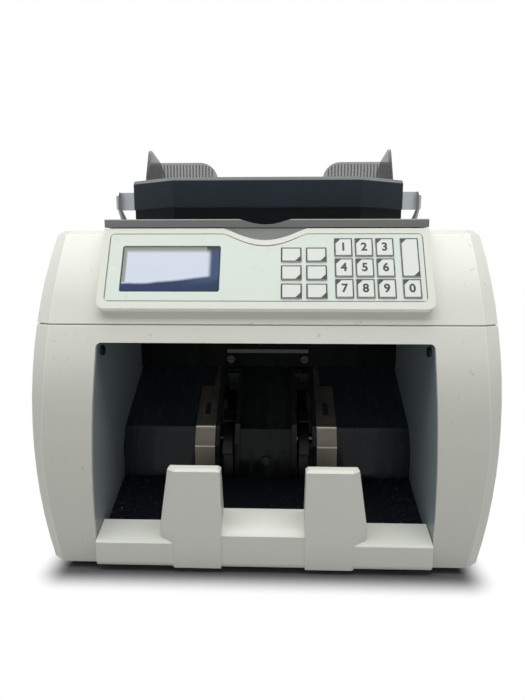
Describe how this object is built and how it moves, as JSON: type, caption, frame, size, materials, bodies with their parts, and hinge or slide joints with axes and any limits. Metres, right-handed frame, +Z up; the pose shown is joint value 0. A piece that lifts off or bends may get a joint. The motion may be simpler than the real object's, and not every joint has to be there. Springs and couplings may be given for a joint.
{
  "type": "banknote counting machine",
  "caption": "Desktop banknote counting machine: note hopper on top, control panel, and an open stacking pocket in front.",
  "frame": {"origin": "on the table, under the middle of the machine", "axes": "+X to the right seen from the front, +Y to the rear, +Z up"},
  "size_m": [0.28, 0.272, 0.271],
  "materials": {
    "pan_steel": "zinc plated",
    "foot_rubber": "matt",
    "casing_plastic": "fine spark texture, warm light grey",
    "overlay_film": "satin printed film",
    "lcd_glass": "glossy, blue backlit display",
    "circuit_board": "solder mask green",
    "hopper_plastic": "coarse texture, mid grey",
    "frame_steel": "zinc plated",
    "liner_plastic": "blue grey, satin",
    "guide_black": "polished black",
    "strip_steel": "springy stainless, worn",
    "housing_black": "black",
    "floor_pile": "short black pile",
    "tray_plastic": "smooth light grey",
    "screw_steel": "blackened and bright",
    "supply_parts": "varnished transformer",
    "motor_case": "plated can",
    "inlet_plastic": "black",
    "bearing_brass": "oiled",
    "belt_rubber": "matt",
    "gate_black": "blue black, fine texture",
    "yoke_steel": "bright zinc",
    "roller_rubber": "ground rubber",
    "smoky_plastic": "smoky translucent",
    "pinion_plastic": "natural acetal",
    "shaft_steel": "ground steel",
    "wheel_plastic": "black",
    "knob_plastic": "black",
    "key_film": "satin key face"
  },
  "bodies": {
    "housing": {"base_pan": "pan_steel", "rubber_feet": "foot_rubber", "lower_casing": "casing_plastic", "upper_casing": "casing_plastic", "rear_cover": "casing_plastic", "panel_bezel": "casing_plastic", "panel_overlay": "overlay_film", "lcd_module": "lcd_glass", "key_board": "circuit_board", "hopper_tray": "hopper_plastic", "side_frame_left": "frame_steel", "side_frame_right": "frame_steel", "pocket_wall_left": "liner_plastic", "pocket_wall_right": "liner_plastic", "back_guide_left": "guide_black", "back_guide_right": "guide_black", "centre_guide": "guide_black", "steel_strips": "strip_steel", "cross_housing": "housing_black", "pocket_floor": "floor_pile", "front_tray": "tray_plastic", "screws": "screw_steel", "main_board": "circuit_board", "power_supply": "supply_parts", "drive_motor": "motor_case", "power_inlet": "inlet_plastic", "shaft_bearings": "bearing_brass", "drive_belts": "belt_rubber"},
    "gate": {"feed_gate": "gate_black", "gate_yoke": "yoke_steel", "retard_rollers": "roller_rubber"},
    "guide_right": {"guide_right": "smoky_plastic"},
    "guide_left": {"guide_left": "smoky_plastic"},
    "pinion": {"guide_pinion": "pinion_plastic"},
    "pickup": {"pickup_shaft": "shaft_steel", "pickup_rollers": "roller_rubber"},
    "feed": {"feed_shaft": "shaft_steel", "feed_rollers": "roller_rubber"},
    "stacker": {"stacker_shaft": "shaft_steel", "stacker_wheels": "wheel_plastic"},
    "motor_rotor": {"motor_pulley": "shaft_steel"},
    "rocker": {"power_switch": "inlet_plastic"},
    "knob": {"gap_knob": "knob_plastic"},
    "key_0_cap": {"key_0": "key_film"},
    "key_1_cap": {"key_1": "key_film"},
    "key_2_cap": {"key_2": "key_film"},
    "key_3_cap": {"key_3": "key_film"},
    "key_4_cap": {"key_4": "key_film"},
    "key_5_cap": {"key_5": "key_film"},
    "key_6_cap": {"key_6": "key_film"},
    "key_7_cap": {"key_7": "key_film"},
    "key_8_cap": {"key_8": "key_film"},
    "key_9_cap": {"key_9": "key_film"},
    "key_clear_cap": {"key_clear": "key_film"},
    "key_function_1_cap": {"key_function_1": "key_film"},
    "key_function_2_cap": {"key_function_2": "key_film"},
    "key_function_3_cap": {"key_function_3": "key_film"},
    "key_function_4_cap": {"key_function_4": "key_film"},
    "key_function_5_cap": {"key_function_5": "key_film"},
    "key_function_6_cap": {"key_function_6": "key_film"}
  },
  "joints": [
    {"name": "gate_tilt", "type": "hinge", "parent": "housing", "child": "gate", "pos_m": [0, -0.005, 0.191], "axis": [-1, 0, 0], "range_deg": [0, 22]},
    {"name": "guide_right_slide", "type": "slide", "parent": "housing", "child": "guide_right", "axis": [-1, 0, 0], "range_m": [0, 0.04]},
    {"name": "guide_left_slide", "type": "slide", "parent": "housing", "child": "guide_left", "axis": [1, 0, 0], "range_m": [0, 0.04]},
    {"name": "pinion_spin", "type": "hinge", "parent": "housing", "child": "pinion", "pos_m": [0, 0.06136, 0.21509], "axis": [0, -0.2756, 0.9613], "range_deg": [-230, 230]},
    {"name": "feed_spin", "type": "hinge", "parent": "housing", "child": "feed", "pos_m": [0, -0.018, 0.176], "axis": [1, 0, 0], "continuous": true},
    {"name": "pickup_spin", "type": "hinge", "parent": "housing", "child": "pickup", "pos_m": [0, 0.012, 0.19], "axis": [1, 0, 0], "continuous": true},
    {"name": "stacker_spin", "type": "hinge", "parent": "housing", "child": "stacker", "pos_m": [0, -0.036, 0.05], "axis": [1, 0, 0], "continuous": true},
    {"name": "motor_spin", "type": "hinge", "parent": "housing", "child": "motor_rotor", "pos_m": [0, 0.05, 0.04], "axis": [1, 0, 0], "continuous": true},
    {"name": "power_rocker", "type": "hinge", "parent": "housing", "child": "rocker", "pos_m": [-0.053, 0.132, 0.05], "axis": [1, 0, 0], "range_deg": [0, 16]},
    {"name": "gap_knob_turn", "type": "hinge", "parent": "housing", "child": "knob", "pos_m": [0.12, 0.075, 0.204], "axis": [0, 0, 1], "range_deg": [-180, 180]},
    {"name": "key_0_press", "type": "slide", "parent": "housing", "child": "key_0_cap", "axis": [0, 0.8854, -0.4648], "range_m": [0, 0.0005], "stiffness_N_per_m": 600, "springref_m": -0.001},
    {"name": "key_1_press", "type": "slide", "parent": "housing", "child": "key_1_cap", "axis": [0, 0.8854, -0.4648], "range_m": [0, 0.0005], "stiffness_N_per_m": 600, "springref_m": -0.001},
    {"name": "key_2_press", "type": "slide", "parent": "housing", "child": "key_2_cap", "axis": [0, 0.8854, -0.4648], "range_m": [0, 0.0005], "stiffness_N_per_m": 600, "springref_m": -0.001},
    {"name": "key_3_press", "type": "slide", "parent": "housing", "child": "key_3_cap", "axis": [0, 0.8854, -0.4648], "range_m": [0, 0.0005], "stiffness_N_per_m": 600, "springref_m": -0.001},
    {"name": "key_4_press", "type": "slide", "parent": "housing", "child": "key_4_cap", "axis": [0, 0.8854, -0.4648], "range_m": [0, 0.0005], "stiffness_N_per_m": 600, "springref_m": -0.001},
    {"name": "key_5_press", "type": "slide", "parent": "housing", "child": "key_5_cap", "axis": [0, 0.8854, -0.4648], "range_m": [0, 0.0005], "stiffness_N_per_m": 600, "springref_m": -0.001},
    {"name": "key_6_press", "type": "slide", "parent": "housing", "child": "key_6_cap", "axis": [0, 0.8854, -0.4648], "range_m": [0, 0.0005], "stiffness_N_per_m": 600, "springref_m": -0.001},
    {"name": "key_7_press", "type": "slide", "parent": "housing", "child": "key_7_cap", "axis": [0, 0.8854, -0.4648], "range_m": [0, 0.0005], "stiffness_N_per_m": 600, "springref_m": -0.001},
    {"name": "key_8_press", "type": "slide", "parent": "housing", "child": "key_8_cap", "axis": [0, 0.8854, -0.4648], "range_m": [0, 0.0005], "stiffness_N_per_m": 600, "springref_m": -0.001},
    {"name": "key_9_press", "type": "slide", "parent": "housing", "child": "key_9_cap", "axis": [0, 0.8854, -0.4648], "range_m": [0, 0.0005], "stiffness_N_per_m": 600, "springref_m": -0.001},
    {"name": "key_clear_press", "type": "slide", "parent": "housing", "child": "key_clear_cap", "axis": [0, 0.8854, -0.4648], "range_m": [0, 0.0005], "stiffness_N_per_m": 600, "springref_m": -0.001},
    {"name": "key_function_1_press", "type": "slide", "parent": "housing", "child": "key_function_1_cap", "axis": [0, 0.8854, -0.4648], "range_m": [0, 0.0005], "stiffness_N_per_m": 600, "springref_m": -0.001},
    {"name": "key_function_2_press", "type": "slide", "parent": "housing", "child": "key_function_2_cap", "axis": [0, 0.8854, -0.4648], "range_m": [0, 0.0005], "stiffness_N_per_m": 600, "springref_m": -0.001},
    {"name": "key_function_3_press", "type": "slide", "parent": "housing", "child": "key_function_3_cap", "axis": [0, 0.8854, -0.4648], "range_m": [0, 0.0005], "stiffness_N_per_m": 600, "springref_m": -0.001},
    {"name": "key_function_4_press", "type": "slide", "parent": "housing", "child": "key_function_4_cap", "axis": [0, 0.8854, -0.4648], "range_m": [0, 0.0005], "stiffness_N_per_m": 600, "springref_m": -0.001},
    {"name": "key_function_5_press", "type": "slide", "parent": "housing", "child": "key_function_5_cap", "axis": [0, 0.8854, -0.4648], "range_m": [0, 0.0005], "stiffness_N_per_m": 600, "springref_m": -0.001},
    {"name": "key_function_6_press", "type": "slide", "parent": "housing", "child": "key_function_6_cap", "axis": [0, 0.8854, -0.4648], "range_m": [0, 0.0005], "stiffness_N_per_m": 600, "springref_m": -0.001}
  ],
  "couplings": [
    {"joint": "guide_left_slide", "follows": "guide_right_slide", "ratio": 1},
    {"joint": "pinion_spin", "follows": "guide_right_slide", "rad_per_m": -100},
    {"joint": "pickup_spin", "follows": "feed_spin", "ratio": 1.125},
    {"joint": "stacker_spin", "follows": "feed_spin", "ratio": 1.125},
    {"joint": "motor_spin", "follows": "feed_spin", "ratio": 2}
  ]
}
